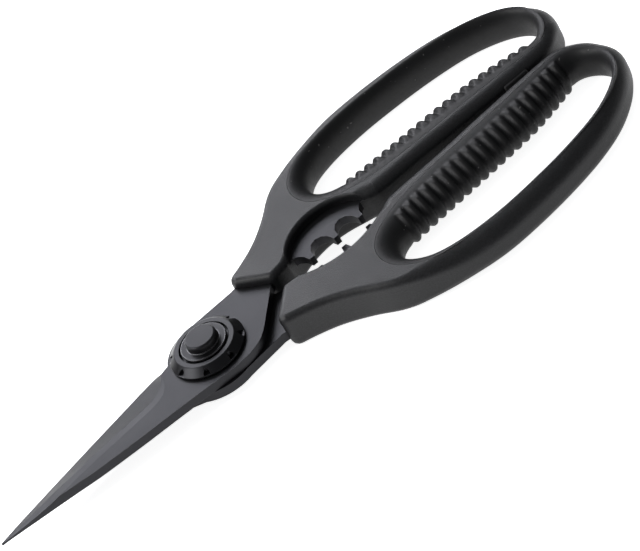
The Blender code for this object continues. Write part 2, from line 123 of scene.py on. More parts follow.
# Finger loop
PARTING = (
    (53.1, 25.6), (54.5, 19.2), (58.6, 14.4), (64.9, 11.0), (73.5, 8.6), (88.0, 6.9),
    (105.0, 6.3), (120.0, 5.6), (132.0, 4.7), (141.0, 5.3), (146.2, 10.2), (148.4, 18.0),
    (146.8, 25.6), (140.8, 32.4), (130.0, 38.2), (115.0, 41.6), (99.0, 43.2), (85.0, 43.6),
    (71.6, 42.2), (61.4, 38.9), (55.0, 32.4),
)
OPENING = (
    (59.2, 26.8), (60.4, 22.4), (63.6, 19.4), (69.0, 18.2), (77.5, 18.0), (90.0, 17.8),
    (104.0, 17.3), (118.0, 16.3), (129.0, 13.8), (138.0, 10.9), (142.8, 12.4), (145.7, 17.6),
    (144.2, 24.6), (138.6, 30.4), (128.5, 35.4), (114.4, 38.7), (99.0, 40.4), (86.0, 40.5),
    (74.0, 38.9), (65.6, 35.6), (61.0, 31.4),
)
POCKET_STEPS = 12
BUFFER_SPAN = (121.4, 130.6)
BUFFER_FACE = 0.72
BUFFER_BACK = 3.1
BUFFER_TOP = 1.25
BUFFER_ROUND = 0.55
RIBS = 20
RIB_HEIGHT = 0.85
RIB_START_X = 66.75
RIB_PITCH = 3.52
RIB_FADE = 1.2
RIB_FLANK = 0.85
GROOVE_SHARE = 0.25
# How far from the middle, in degrees, ribs and grooves run out
RIB_ENDS = (76.0, 71.5)
GROOVE_ENDS = (74.0, 62.0)
GRIP_SHOULDER = 0.12
RIB_SHOULDER = 0.4
GRIP_STEPS = 48
LOOP_STEPS = 60
NEARBY = 90
RAIL_SLICE = 0.27
BOW_SLICE = 0.9
# Stretches of the loop, counted in points of OPENING: the rail, where its slices turn
# square to it, and where the bow's narrow seam starts and ends
RAIL_PART = (2.0, 9.6)
SQUARE_IN = (1.5, 2.6)
SQUARE_OUT = (10.2, 8.95)
BOW_SEAM_IN = (10.6, 9.4)
BOW_SEAM_OUT = (18.5, 20.0)

# Blade tangs that the handles hold
UPPER_TANG_INNER = ((28.0, 4.4), (31.0, 6.0), (35.0, 6.5))
LOWER_TANG_INNER = ((22.0, -5.0), (29.5, -1.9), (34.0, -1.4), (35.8, 1.2))
TANG_OUTER = (
    (68.6, 6.4), (65.0, 9.2), (60.0, 12.6), (55.2, 15.4), (51.6, 18.2), (46.5, 19.4),
    (40.0, 18.2), (30.0, 15.4), (18.0, 13.7),
)
TANG_MOUTH = ((12.0, 13.7), (12.0, -6.0))
FIRST_TOOTH_X = 42.0
TOOTH_PITCH = 9.7
TOOTH_TIP = 0.9
TOOTH_HALF = 0.9
VALLEYS = 4
VALLEY_DEPTH = 5.6
VALLEY_STEPS = 6

# Upper blade
UPPER_SPINE = (
    (-62.0, -6.75), (-55.0, -7.95), (-48.8, -9.1), (-34.2, -10.8), (-19.5, -12.2),
    (-10.0, -13.2),
)
UPPER_BELLY = (
    (-10.0, -13.2), (-4.0, -14.1), (2.1, -14.6), (8.0, -14.0), (12.6, -12.2), (16.3, -8.9),
)
PLATE_RADIUS = 13.6
SPINE_STEPS = 6
EDGE_LAND = 0.15
BUSH_R = 7.2
FIT = 0.3
FLUSH = 0.06
BLADE_GAP = 0.3
TIP_SPINE = ((-83.45, -3.2), (-76.0, -4.4), (-71.0, -5.25), (-66.0, -6.08))

# Lower blade
LOWER_SPINE = ((-15.0, 8.9), (-32.0, 6.2), (-50.0, 3.1), (-68.0, -0.1), (-83.4, -2.6))
LOWER_PLATE_RADIUS = 13.0
LOWER_HEEL = (16.3, -9.4)
BELLY_RADIUS = 15.6
SHANK_R = 5.5
SHANK_FLAT = 4.7
SHANK_STEPS = 12
WASHER_R = 10.7
WASHER_DEPTH = 0.85

# Grinding of both blades, from the tip to the heel: the flat's border, the band's lower
# line and the cutting edge. The flat begins at row FLAT_FROM.
GRIND = (
    ((-83.45, -3.2, -2.62), (-83.6, -2.85, -2.66), (-83.45, -2.5)),
    ((-80.0, -3.8, -2.45), (-80.0, -2.72, -2.56), (-80.0, -1.7)),
    ((-76.0, -4.4, -2.05), (-76.0, -2.72, -2.2), (-76.0, -0.85)),
    ((-71.0, -5.25, -1.45), (-71.0, -2.8, -1.7), (-71.0, 0.1)),
    ((-66.0, -6.08, -0.8), (-66.0, -2.95, -1.2), (-66.0, 1.0)),
    ((-62.0, -6.75, 0.0), (-62.0, -3.05, -0.75), (-62.0, 1.75)),
    ((-56.0, -5.95, 0.0), (-56.0, -3.1, -0.45), (-56.0, 2.8)),
    ((-50.0, -5.5, 0.0), (-50.0, -2.75, -0.37), (-50.0, 3.85)),
    ((-44.0, -5.1, 0.0), (-44.0, -2.35, -0.36), (-44.0, 4.9)),
    ((-38.0, -4.8, 0.0), (-38.0, -2.05, -0.36), (-38.0, 5.9)),
    ((-32.0, -4.5, 0.0), (-32.0, -1.8, -0.36), (-32.3, 6.85)),
    ((-26.0, -4.2, 0.0), (-26.2, -1.45, -0.36), (-27.2, 7.7)),
    ((-22.3, -3.7, 0.0), (-23.2, -1.05, -0.38), (-24.3, 8.2)),
    ((-19.8, -2.7, 0.0), (-20.9, -0.3, -0.40), (-21.6, 8.6)),
    ((-17.9, -1.1, 0.0), (-18.8, 1.0, -0.42), (-19.6, 8.9)),
    ((-16.5, 1.3, 0.0), (-17.2, 2.7, -0.36), (-18.2, 9.1)),
    ((-15.6, 3.6, 0.0), (-15.9, 4.3, -0.2), (-17.2, 9.2)),
    ((-15.0, 5.6, 0.0), (-15.0, 5.6, 0.0), (-16.6, 9.25)),
)
FLAT_FROM = 5
GRIND_STEPS = 3
BAND_ROWS = (0.5, 1.0)
GROUND_ROWS = (0.25, 0.5, 0.75, 1.0)

# Pivot
RING_BASE_R = 12.4
RING_TOP_R = 9.9
RING_BORE_R = 8.2
RING_TOP = 3.05
RING_FLOOR = 1.5
RING_HOLE_R = 4.9
RING_FOOT = 0.3
RING_RIM_TOP = 0.95
SEAT_R = 9.2
SEAT_TOP = 0.6
NOTCHES = 8
NOTCH_PHASE = 13.5
NOTCH_HALF = 1.2
NOTCH_FLOOR = 0.98
# Radius and share of the half width, from the open end to the point
NOTCH_SIDE = ((14.0, 1.0), (11.9, 1.0), (11.0, 0.62), (10.5, 0.2))
FLANGE_R = 7.6
FLANGE_FOOT = 2.7
FLANGE_TOP = 3.5
BOSS_R = 5.15
BUTTON_TOP = 6.05
TURN_STEPS = 128

# Camera, as the photograph was taken
AZIMUTH = -13.483
ELEVATION = 38.235
ROLL = -32.291
CAMERA_DISTANCE = 0.83324
TARGET = Vector((PIVOT_X + 0.038896, -0.008135, BLADE_TOP))
LENS = 157.7
SENSOR_WIDTH = 36.0
CLIP = (0.01, 20.0)

# Studio: floor and softboxes (name, place, aim, size, watts, tint)
FLOOR_HALF = 3.0
FLOOR_GLOW = 0.88
WORLD_TINT = (0.95, 0.97, 1.0, 1.0)
WORLD_STRENGTH = 0.2
SOFTBOXES = (
    ("overhead", (0.0, 0.0, 1.3), (0.0, 0.0, 0.0), (1.7, 1.7), 1.2, (1.0, 1.0, 1.0)),
    ("back_key", (-0.03, 0.60, 0.38), (-0.01, 0.0, 0.01), (0.64, 0.28), 4.7, (0.94, 0.945, 1.0)),
    ("left_fill", (-0.58, 0.18, 0.49), (-0.03, 0.0, 0.0), (0.36, 0.46), 4.6, (1.0, 1.0, 1.0)),
)


# ---------------------------------------------------------------- shapes


def place(x, y, z):
    """A point in millimetres from the pivot, in the frame's metres."""
    return Vector((PIVOT_X + x * MM, y * MM, BLADE_TOP + z * MM))


def mesh_object(name, bm):
    bmesh.ops.remove_doubles(bm, verts=bm.verts, dist=1e-7)
    bmesh.ops.recalc_face_normals(bm, faces=bm.faces)
    mesh = bpy.data.meshes.new(name)
    bm.to_mesh(mesh)
    bm.free()
    mesh.shade_smooth()
    made = bpy.data.objects.new(name, mesh)
    bpy.context.scene.collection.objects.link(made)
    return made


def bake_modifiers(made):
    """Replaces the object's mesh by the one its modifiers give."""
    graph = bpy.context.evaluated_depsgraph_get()
    mesh = bpy.data.meshes.new_from_object(made.evaluated_get(graph))
    made.modifiers.clear()
    made.data = mesh
    return made


def cut(target, cutters):
    """Cuts the solids away and deletes them."""
    for cutter in cutters:
        boolean = target.modifiers.new(cutter.name, "BOOLEAN")
        boolean.operation = "DIFFERENCE"
        boolean.solver = "EXACT"
        boolean.object = cutter
    bake_modifiers(target)
    for cutter in cutters:
        bpy.data.objects.remove(cutter)


def soften(made, width, segments=2, angle=30.0):
    """Rounds the sharp edges by a small bevel and shades the rest smooth."""
    bevel = made.modifiers.new("edge_round", "BEVEL")
    bevel.width = width * MM
    bevel.segments = segments
    bevel.limit_method = "ANGLE"
    bevel.angle_limit = math.radians(angle)
    bevel.use_clamp_overlap = True
    bevel.harden_normals = False
    normals = made.modifiers.new("face_weights", "WEIGHTED_NORMAL")
    normals.weight = 60
    normals.keep_sharp = True


def crisp(mesh, angle=2.5):
    """Marks the lines where two nearly level faces meet as sharp."""
    bm = bmesh.new()
    bm.from_mesh(mesh)
    for edge in bm.edges:
        faces = edge.link_faces
        if len(faces) == 2 and all(abs(face.normal.z) > 0.7 for face in faces):
            if edge.calc_face_angle(0.0) > math.radians(angle):
                edge.smooth = False
    bm.to_mesh(mesh)
    bm.free()


def spline(points, steps, closed=False):
    """Points on a smooth curve through the given ones, with steps between each pair."""
    count = len(points)
    spans = count if closed else count - 1
    made = []
    for span in range(spans):
        if closed:
            a, b, c, d = (points[(span + k - 1) % count] for k in range(4))
        else:
            a, b, c, d = (points[min(max(span + k - 1, 0), count - 1)] for k in range(4))
        for step in range(steps):
            t = step / steps
            made.append(
                tuple(
                    0.5 * (2.0 * b[k] + (c[k] - a[k]) * t
                           + (2.0 * a[k] - 5.0 * b[k] + 4.0 * c[k] - d[k]) * t * t
                           + (3.0 * b[k] - a[k] - 3.0 * c[k] + d[k]) * t ** 3)
                    for k in range(2)
                )
            )
    if not closed:
        made.append(points[-1])
    return made


def bulge(start, end, depth, steps):
    """Points on the arc from start to end that rises by depth to the left of that line."""
    chord = math.dist(start, end)
    radius = (chord * chord / 4.0 + depth * depth) / (2.0 * depth)
    half = math.asin(chord / 2.0 / radius)
    along = ((end[0] - start[0]) / chord, (end[1] - start[1]) / chord)
    left = (-along[1], along[0])
    made = []
    for step in range(steps + 1):
        turn = -half + 2.0 * half * step / steps
        run = radius * math.sin(turn) + chord / 2.0
        rise = radius * math.cos(turn) - (radius - depth)
        made.append(tuple(start[k] + along[k] * run + left[k] * rise for k in range(2)))
    return made


def fillet(before, corner, after, radius, steps):
    """Points that round a corner of an outline."""
    corner = Vector(corner)
    back = (Vector(before) - corner).normalized()
    on = (Vector(after) - corner).normalized()
    half = back.angle(on) / 2.0
    centre = corner + (back + on).normalized() * radius / math.sin(half)
    start = corner + back * radius / math.tan(half)
    end = corner + on * radius / math.tan(half)
    made = []
    for step in range(steps + 1):
        ray = (start - centre).lerp(end - centre, step / steps).normalized() * radius
        made.append(tuple(centre + ray))
    return made


def ramp(value, low, high):
    """0 below low, 1 above high, and a smooth rise in between."""
    t = min(max((value - low) / (high - low), 0.0), 1.0)
    return t * t * (3.0 - 2.0 * t)


def mirrored(points):
    """The outline of the other half, still anticlockwise."""
    return [(x, -y) for x, y in reversed(points)]


def handed(points, side):
    return list(points) if side > 0 else mirrored(points)


def inset(outline, amounts):
    """The anticlockwise outline moved inwards by its own amount at each corner."""
    count = len(outline)
    made = []
    for index, point in enumerate(outline):
        here = Vector(point)
        before = (here - Vector(outline[index - 1])).normalized()
        after = (Vector(outline[(index + 1) % count]) - here).normalized()
        normal = Vector((-before.y - after.y, before.x + after.x)).normalized()
        side = Vector((-before.y, before.x))
        made.append(tuple(here + normal * (amounts[index] / max(normal.dot(side), 0.45))))
    return made


def skin(bm, rings, caps=True):
    """Joins rings of points into one closed surface."""
    loops = [[bm.verts.new(place(*point)) for point in ring] for ring in rings]
    count = len(loops[0])
    pairs = list(zip(loops, loops[1:]))
    if caps:
        bm.faces.new(tuple(reversed(loops[0])))
        bm.faces.new(tuple(loops[-1]))
    else:
        pairs.append((loops[-1], loops[0]))
    for lower, upper in pairs:
        for k in range(count):
            bm.faces.new((lower[k], lower[(k + 1) % count], upper[(k + 1) % count], upper[k]))
    return bm


def pillow(name, outline, radii, low, high, steps, across=None):
    """A flat slab with its edges rounded by a radius at each corner.

    across holds the horizontal radii where they differ from the upright ones.
    """
    rings = []
    for side in (-1.0, 1.0):
        for step in range(steps + 1):
            turn = math.pi / 2.0 * (steps - step if side < 0.0 else step) / steps
            outlined = inset(outline, [reach * (1.0 - math.cos(turn)) for reach in across or radii])
            level = low if side < 0.0 else high
            rings.append(
                [(x, y, level - side * radius * (1.0 - math.sin(turn)))
                 for (x, y), radius in zip(outlined, radii)]
            )
    return mesh_object(name, skin(bmesh.new(), rings))


def prism(name, outline, low, high):
    rings = [[(x, y, level) for x, y in outline] for level in (low, high)]
    return mesh_object(name, skin(bmesh.new(), rings))


def lathe(name, profile):
    """Turns a closed profile of (radius, z) about the pivot axis."""
    bm = bmesh.new()
    verts = []
    for step in range(TURN_STEPS):
        turn = 2.0 * math.pi * step / TURN_STEPS
        verts.append([bm.verts.new(place(r * math.cos(turn), r * math.sin(turn), z)) for r, z in profile])
    count = len(profile)
    for step in range(TURN_STEPS):
        here = verts[step]
        there = verts[(step + 1) % TURN_STEPS]
        for k in range(count):
            after = (k + 1) % count
            on_axis = [profile[k][0] == 0.0, profile[after][0] == 0.0]
            if all(on_axis):
                continue
            if on_axis[0]:
                bm.faces.new((here[k], there[after], here[after]))
            elif on_axis[1]:
                bm.faces.new((here[k], there[k], here[after]))
            else:
                bm.faces.new((here[k], there[k], there[after], here[after]))
    return mesh_object(name, bm)


def rounded(profile, radii, steps=4):
    """The profile with a fillet at each corner that has a radius."""
    made = []
    count = len(profile)
    for k, (corner, radius) in enumerate(zip(profile, radii)):
        if radius:
            made += fillet(profile[k - 1], corner, profile[(k + 1) % count], radius, steps)
        else:
            made.append(corner)
    return made


# ---------------------------------------------------------------- handle shells


def handle_outline():
    """The +Y handle's outline, with the edge radius at each of its points."""
    bow = spline(OUTER_BOW + RAIL, OUTLINE_STEPS)
    split = OUTLINE_STEPS * (len(OUTER_BOW) - 1)
    radii = [
        FRONT_ROUND + (SHOULDER_ROUND - FRONT_ROUND) * ramp(x, *SHOULDER_X)
        + (BOW_ROUND - SHOULDER_ROUND) * ramp(x, *BOW_X) for x, _ in bow[:split]
    ]
    for k, (x, y) in enumerate(bow[:split]):
        if x > BOW_END_X and y < BOW_END_Y[0]:
            radii[k] += (RAIL_ROUND - radii[k]) * ramp(-y, -BOW_END_Y[0], -BOW_END_Y[1])
    radii += [RAIL_ROUND] * (len(bow) - split)
    nose = fillet(FRONT_INNER, bow[0], bow[4], NOSE_ROUND, CORNER_STEPS)
    bow = nose + bow[5:]
    radii = [FRONT_ROUND] * len(nose) + radii[5:]
    window = list(reversed(bulge(WINDOW_FRONT, WINDOW_REAR, SHALLOW_DEPTH, WINDOW_STEPS)))
    inner = fillet(window[-1], FRONT_INNER, nose[0], NOSE_ROUND, CORNER_STEPS)
    points = bow + window + inner
    count = len(window)
    for k in range(count):
        radii.append(RAIL_ROUND + (FRONT_ROUND - RAIL_ROUND) * ramp(k / count, 0.0, 0.2))
    radii += [FRONT_ROUND] * len(inner)
    return list(reversed(points)), list(reversed(radii))


def jaw_outline():
    """The scalloped edge of the +Y jaw from its first valley to its last one."""
    made = []
    half = TOOTH_PITCH / 2.0 - TOOTH_HALF
    for valley in range(VALLEYS):
        centre = FIRST_TOOTH_X + (valley - 0.5) * TOOTH_PITCH
        for step in range(VALLEY_STEPS + 1):
            across = math.cos(math.pi * (VALLEY_STEPS - step) / VALLEY_STEPS)
            if (valley == 0 and across < 0.0) or (valley == VALLEYS - 1 and across > 0.1):
                continue
            rise = VALLEY_DEPTH * math.sqrt(max(0.0, 1.0 - across * across))
            made.append((centre + half * across, TOOTH_TIP + rise))
    return made


def tang_slot(side):
    """The outline of the slot that holds a blade's tang, a little wider than the tang."""
    inner = UPPER_TANG_INNER if side > 0 else LOWER_TANG_INNER
    outline = list(inner) + jaw_outline() + list(TANG_OUTER) + list(TANG_MOUTH)
    return inset(handed(outline, side), [-SLOT_GAP] * len(outline))


def flipped(level, side):
    """The level for the other handle, whose tang lies one blade lower."""
    return level if side > 0 else 2.0 * MID_Z - level


def deep_recess(name, side):
    """The recess that shows the jaw plate's back, with a rounded mouth."""
    wall = list(reversed(bulge(DEEP_FRONT, DEEP_REAR, DEEP_DEPTH, DEEP_STEPS)))
    foot = [(DEEP_FRONT[0], -1.0), (DEEP_REAR[0], -1.0)]
    rings = []
    levels = [(DEEP_FLOOR, 0.0)]
    for step in range(CORNER_STEPS + 1):
        turn = math.pi / 2.0 * step / CORNER_STEPS
        drop = MOUTH_ROUND * (1.0 - math.sin(turn))
        levels.append((HANDLE_TOP - drop, MOUTH_ROUND * (1.0 - math.cos(turn))))
    levels.append((HANDLE_TOP + 0.5, MOUTH_ROUND + 0.1))
    for z, flare in levels:
        share = [flare * math.sin(math.pi * k / (len(wall) - 1)) ** 0.5 for k in range(len(wall))]
        outline = inset(wall + foot, [-amount for amount in share] + [0.0, 0.0])
        rings.append([(x, y, flipped(z, side)) for x, y in handed(outline, side)])
    if side < 0:
        rings.reverse()
    return mesh_object(name, skin(bmesh.new(), rings))


def build_handle(node, side):
    """One handle shell, with its loop, its blade slot, its recess and the pad's seat cut."""
    outline, radii = handle_outline()
    if side < 0:
        outline, radii = mirrored(outline), list(reversed(radii))
    across = [
        radius * (1.0 + (OVAL - 1.0) * ramp(radius, FRONT_ROUND + 0.1, RAIL_ROUND)) for radius in radii
    ]
    body = pillow(node + "_shell", outline, radii, HANDLE_BOTTOM, HANDLE_TOP, EDGE_STEPS, across)
    pocket = handed(spline(PARTING, POCKET_STEPS, closed=True), side)
    low, high = sorted((flipped(-BLADE_THICKNESS - SLOT_GAP, side), flipped(SLOT_GAP, side)))
    front, rear = BUFFER_SPAN[0] - SEAM, BUFFER_SPAN[1] + SEAM
    back = BUFFER_BACK + SEAM
    seat = [(front, -PAST), (rear, -PAST), (rear, back), (front, back)]
    seat_top = BUFFER_TOP + SEAM
    cut(
        body,
        [
            prism("cut_loop", pocket, HANDLE_BOTTOM - PAST, HANDLE_TOP + PAST),
            prism("cut_tang", tang_slot(side), low, high),
            deep_recess("cut_recess", side),
            prism("cut_seat", handed(seat, side), 2.0 * MID_Z - seat_top, seat_top),
        ],
    )
    soften(body, EDGE_BEVEL, 2, 34.0)
    return bake_modifiers(body)


def build_buffer(node, side):
    """The stop pad let into the rail's inner wall."""
    front, rear = BUFFER_SPAN
    corners = [(front, BUFFER_FACE), (rear, BUFFER_FACE), (rear, BUFFER_BACK), (front, BUFFER_BACK)]
    outline = handed(corners, side)
    made = prism(node + "_pad", outline, 2.0 * MID_Z - BUFFER_TOP, BUFFER_TOP)
    soften(made, BUFFER_ROUND, 4)
    return bake_modifiers(made)


# ---------------------------------------------------------------- soft grips


def grip_section(parting, opening, seam, rise, ribbed):
    """One slice through the soft grip. rise is how far a rib stands there, from 0 to 1."""
    inward = Vector(opening) - Vector(parting)
    width = inward.length
    inward.normalize()
    start = Vector(parting) + inward * seam
    shoulder = GRIP_SHOULDER + RIB_SHOULDER * ribbed
    deep = width - seam - shoulder
    base = start + inward * shoulder
    half = (HANDLE_TOP - HANDLE_BOTTOM) / 2.0
    section = [(start.x, start.y, HANDLE_BOTTOM)]
    for step in range(GRIP_STEPS + 1):
        turn = -math.pi / 2.0 + math.pi * step / GRIP_STEPS
        across = deep * math.cos(turn)
        up = half * math.sin(turn)
        normal = Vector((math.cos(turn) / deep, math.sin(turn) / half)).normalized()
        from_middle = math.degrees(abs(turn))
        stand = RIB_HEIGHT * ribbed * rise * ramp(from_middle, *RIB_ENDS)
        stand -= GROOVE_SHARE * RIB_HEIGHT * ribbed * (1.0 - rise) * ramp(from_middle, *GROOVE_ENDS)
        across += stand * normal.x
        up += stand * normal.y
        point = base + inward * max(across, 0.0)
        section.append((point.x, point.y, MID_Z + min(max(up, -half), half)))
    for point, level in (
        (start, HANDLE_TOP),
        (start, HANDLE_TOP - TONGUE_DEPTH),
        (parting, HANDLE_TOP - TONGUE_DEPTH - SEAM),
        (parting, HANDLE_BOTTOM + TONGUE_DEPTH + SEAM),
        (start, HANDLE_BOTTOM + TONGUE_DEPTH),
    ):
        section.append((point[0], point[1], level))
    return section


def on_curve(points, at):
    """The point of a closed list of points at a fractional index."""
    low = int(math.floor(at))
    a, b = points[low % len(points)], points[(low + 1) % len(points)]
    return tuple(u + (v - u) * (at - low) for u, v in zip(a, b))


def same_x(points, x, near):
    """The fractional index, close to near, where the curve passes x while x rises."""
    best = near
    for low in range(int(near) - NEARBY, int(near) + NEARBY):
        a, b = points[low % len(points)][0], points[(low + 1) % len(points)][0]
        if a <= x < b:
            best = low + (x - a) / (b - a)
            break
    return best


def build_grip(node, side):
    """The soft lining of one finger loop, with ribs along its inner straight."""
    parting = spline(PARTING, LOOP_STEPS, closed=True)
    opening = spline(OPENING, LOOP_STEPS, closed=True)
    end_x = RIB_START_X + RIBS * RIB_PITCH
    rings = []
    previous = None
    for index, inner in enumerate(opening):
        along = index / LOOP_STEPS
        upright = ramp(along, *SQUARE_IN) * ramp(along, *SQUARE_OUT)
        at = float(index)
        if upright > 0.0:
            at += (same_x(parting, inner[0], index) - index) * upright
        phase = (inner[0] - RIB_START_X) / RIB_PITCH
        on_rail = RAIL_PART[0] <= along <= RAIL_PART[1]
        spacing = RAIL_SLICE if on_rail and -1.0 < phase < RIBS + 1.0 else BOW_SLICE
        if previous and math.dist(previous, inner) < spacing:
            continue
        previous = inner
        rise, ribbed = 0.0, 0.0
        if on_rail:
            ribbed = ramp(inner[0], RIB_START_X - RIB_FADE, RIB_START_X)
            ribbed *= ramp(inner[0], end_x + RIB_FADE, end_x)
            across = 1.0 - abs((phase % 1.0) - 0.5) * 2.0
            rise = ramp(across, 0.0, RIB_FLANK) if 0.0 <= phase <= RIBS else 0.0
        seam = BOW_SEAM + (SEAM - BOW_SEAM) * ramp(along, *BOW_SEAM_IN)
        seam = max(seam, BOW_SEAM + (SEAM - BOW_SEAM) * ramp(along, *BOW_SEAM_OUT))
        section = grip_section(on_curve(parting, at), inner, seam, rise, ribbed)
        rings.append([(x, side * y, z) for x, y, z in section])
    rings.reverse()
    made = mesh_object(node + "_lining", skin(bmesh.new(), rings, caps=False))
    made.data.set_sharp_from_angle(angle=math.radians(60.0))
    return made


# ---------------------------------------------------------------- blades


def spline_3d(points, steps):
    """Points on a smooth curve in space through the given ones."""
    flat = spline([(p[0], p[1]) for p in points], steps)
    levels = spline([(p[0], p[2]) for p in points], steps)
    return [(x, y, z) for (x, y), (_, z) in zip(flat, levels)]


def level_at(points, x):
    """The y of a line of points at x."""
    ordered = sorted(points)
    for (x0, y0), (x1, y1) in zip(ordered, ordered[1:]):
        if x <= x1 or (x1, y1) == ordered[-1]:
            return y0 + (y1 - y0) * (x - x0) / (x1 - x0)


def arc(radius, start, end, step):
    """Points on a circle about the pivot, between two angles in degrees."""
    return [
        (radius * math.cos(math.radians(turn)), radius * math.sin(math.radians(turn)))
        for turn in range(start, end + 1, step)
    ]


def build_blade(name, grind, rest, thickness, lower, cutters):
    """A blade: a flat plate, a narrow ground band and the ground face below it.

    rest is the outline from the flat's first point round the tang to the heel. The lower
    blade is drawn turned over about the X axis.
    """
    edge_z = EDGE_LAND - thickness
    tip = []
    for row, after in zip(grind[:FLAT_FROM], grind[1:FLAT_FROM + 1]):
        for step in range(GRIND_STEPS):
            tip.append(tuple(a + (b - a) * step / GRIND_STEPS for a, b in zip(row[0], after[0])))
    border = tip + spline_3d([row[0] for row in grind[FLAT_FROM:]], GRIND_STEPS)
    line = spline_3d([row[1] for row in grind], GRIND_STEPS)
    edge = [(x, y, edge_z) for x, y in spline([row[2] for row in grind], GRIND_STEPS)]
    flat_from = FLAT_FROM * GRIND_STEPS
    bm = bmesh.new()

    def vert(point, z=None):
        x, y = point[:2]
        z = point[2] if z is None else z
        return bm.verts.new(place(x, -y, 2.0 * MID_Z - z) if lower else place(x, y, z))

    rows = [[vert(point) for point in border]]
    for low, high, shares in ((border, line, BAND_ROWS), (line, edge, GROUND_ROWS)):
        for share in shares:
            rows.append([vert(Vector(a).lerp(Vector(b), share)) for a, b in zip(low, high)])
    tops = rows[0]
    foot = -thickness
    border_foot = [vert(point, foot) for point in border[:flat_from + 1]]
    heel_foot = vert(border[-1], foot)
    edge_foot = [vert(point, foot) for point in edge]
    rest_top = [vert(point, 0.0) for point in rest]
    rest_foot = [vert(point, foot) for point in rest]
    for upper, below in zip(rows, rows[1:]):
        for k in range(len(upper) - 1):
            bm.faces.new((upper[k], upper[k + 1], below[k + 1], below[k]))
    bm.faces.new(tops[flat_from:] + list(reversed(rest_top)))
    for k in range(flat_from):
        bm.faces.new((tops[k], border_foot[k], border_foot[k + 1], tops[k + 1]))
    upper_run = [tops[flat_from]] + rest_top + [tops[-1]]
    foot_run = [border_foot[flat_from]] + rest_foot + [heel_foot]
    for k in range(len(upper_run) - 1):
        bm.faces.new((upper_run[k], foot_run[k], foot_run[k + 1], upper_run[k + 1]))
    for k in range(len(edge) - 1):
        bm.faces.new((rows[-1][k], rows[-1][k + 1], edge_foot[k + 1], edge_foot[k]))
    bm.faces.new([row[-1] for row in rows] + [edge_foot[-1], heel_foot])
    bm.faces.new([row[0] for row in rows] + [edge_foot[0], border_foot[0]])
    bm.faces.new(border_foot + rest_foot + [heel_foot] + list(reversed(edge_foot)))
    made = mesh_object(name, bm)
    cut(made, cutters)
    crisp(made.data)
    soften(made, EDGE_BEVEL, 2, 35.0)
    return bake_modifiers(made)


def build_upper_blade():
    rest = spline(UPPER_SPINE, SPINE_STEPS)[1:-1] + spline(UPPER_BELLY, SPINE_STEPS)
    rest += list(UPPER_TANG_INNER)
    rest += jaw_outline() + list(TANG_OUTER) + arc(PLATE_RADIUS, 88, 152, 4)
    bore = prism("cut_bore", arc(BUSH_R + FIT, 0, 355, 5), -BLADE_THICKNESS - PAST, PAST)
    return build_blade("upper_blade_plate", GRIND, rest, BLADE_THICKNESS, False, [bore])


def build_lower_blade():
    """The lower blade, whose edge runs along the upper blade's spine."""
    grind = []
    for index, (border, line, edge) in enumerate(GRIND):
        shift = -level_at(TIP_SPINE + UPPER_SPINE, edge[0]) - FLUSH - edge[1]
        y = border[1] + shift
        if index <= FLAT_FROM:
            y = -level_at(LOWER_SPINE, border[0])
        moved_line = (line[0], line[1] + shift, line[2])
        grind.append(((border[0], y, border[2]), moved_line, (edge[0], edge[1] + shift)))
    spine = [(x, -y) for x, y in reversed(LOWER_SPINE) if x > GRIND[FLAT_FROM][0][0] + 1.0]
    rest = spine + arc(LOWER_PLATE_RADIUS, -148, -48, 4) + [LOWER_HEEL] + list(LOWER_TANG_INNER)
    rest += jaw_outline() + list(TANG_OUTER) + arc(BELLY_RADIUS, 76, 136, 4)
    bottom = 2.0 * MID_Z
    thickness = BLADE_THICKNESS + BLADE_GAP - FLUSH
    half = math.degrees(math.asin(SHANK_FLAT / SHANK_R))
    turns = [-half + 2.0 * half * k / SHANK_STEPS for k in range(SHANK_STEPS + 1)]
    slot = [
        (SHANK_R * math.cos(math.radians(turn)), SHANK_R * math.sin(math.radians(turn)))
        for turn in turns + [180.0 + turn for turn in turns]
    ]
    washer_floor = bottom + BLADE_THICKNESS - WASHER_DEPTH
    cutters = [
        prism("cut_slot", slot, bottom - 1.0, 0.0),
        prism("cut_washer", arc(WASHER_R + FIT, 0, 355, 5), washer_floor, 0.0),
    ]
    return build_blade("lower_blade_plate", grind, rest, thickness, True, cutters)


# ---------------------------------------------------------------- pivot


def build_ring():
    """The notched tension ring, a cone with a flat rim round the button's flange."""
    profile = [
        (RING_HOLE_R, RING_FLOOR), (RING_HOLE_R, SEAT_TOP), (SEAT_R, SEAT_TOP), (SEAT_R, RING_FOOT),
        (RING_BASE_R, RING_FOOT), (RING_BASE_R, RING_RIM_TOP), (RING_TOP_R + 0.25, 2.85),
        (RING_TOP_R - 0.1, RING_TOP), (RING_BORE_R, RING_TOP), (RING_BORE_R, RING_FLOOR),
    ]
    radii = [0.0, 0.0, 0.0, 0.0, 0.12, 0.25, 0.12, 0.1, 0.22, 0.2]
    ring = lathe("tension_ring_fine", rounded(profile, radii))
    left = [(r, share * NOTCH_HALF) for r, share in NOTCH_SIDE]
    wedge = left + [(r, -s) for r, s in reversed(left)]
    cutters = []
    for notch in range(NOTCHES):
        turn = math.radians(NOTCH_PHASE) + 2.0 * math.pi * notch / NOTCHES
        outline = [
            (r * math.cos(turn) - s * math.sin(turn), r * math.sin(turn) + s * math.cos(turn))
            for r, s in wedge
        ]
        cutters.append(prism(f"cut_notch_{notch}", outline, NOTCH_FLOOR, RING_TOP + PAST))
    cut(ring, cutters)
    soften(ring, 0.07, 2, 40.0)
    return bake_modifiers(ring)


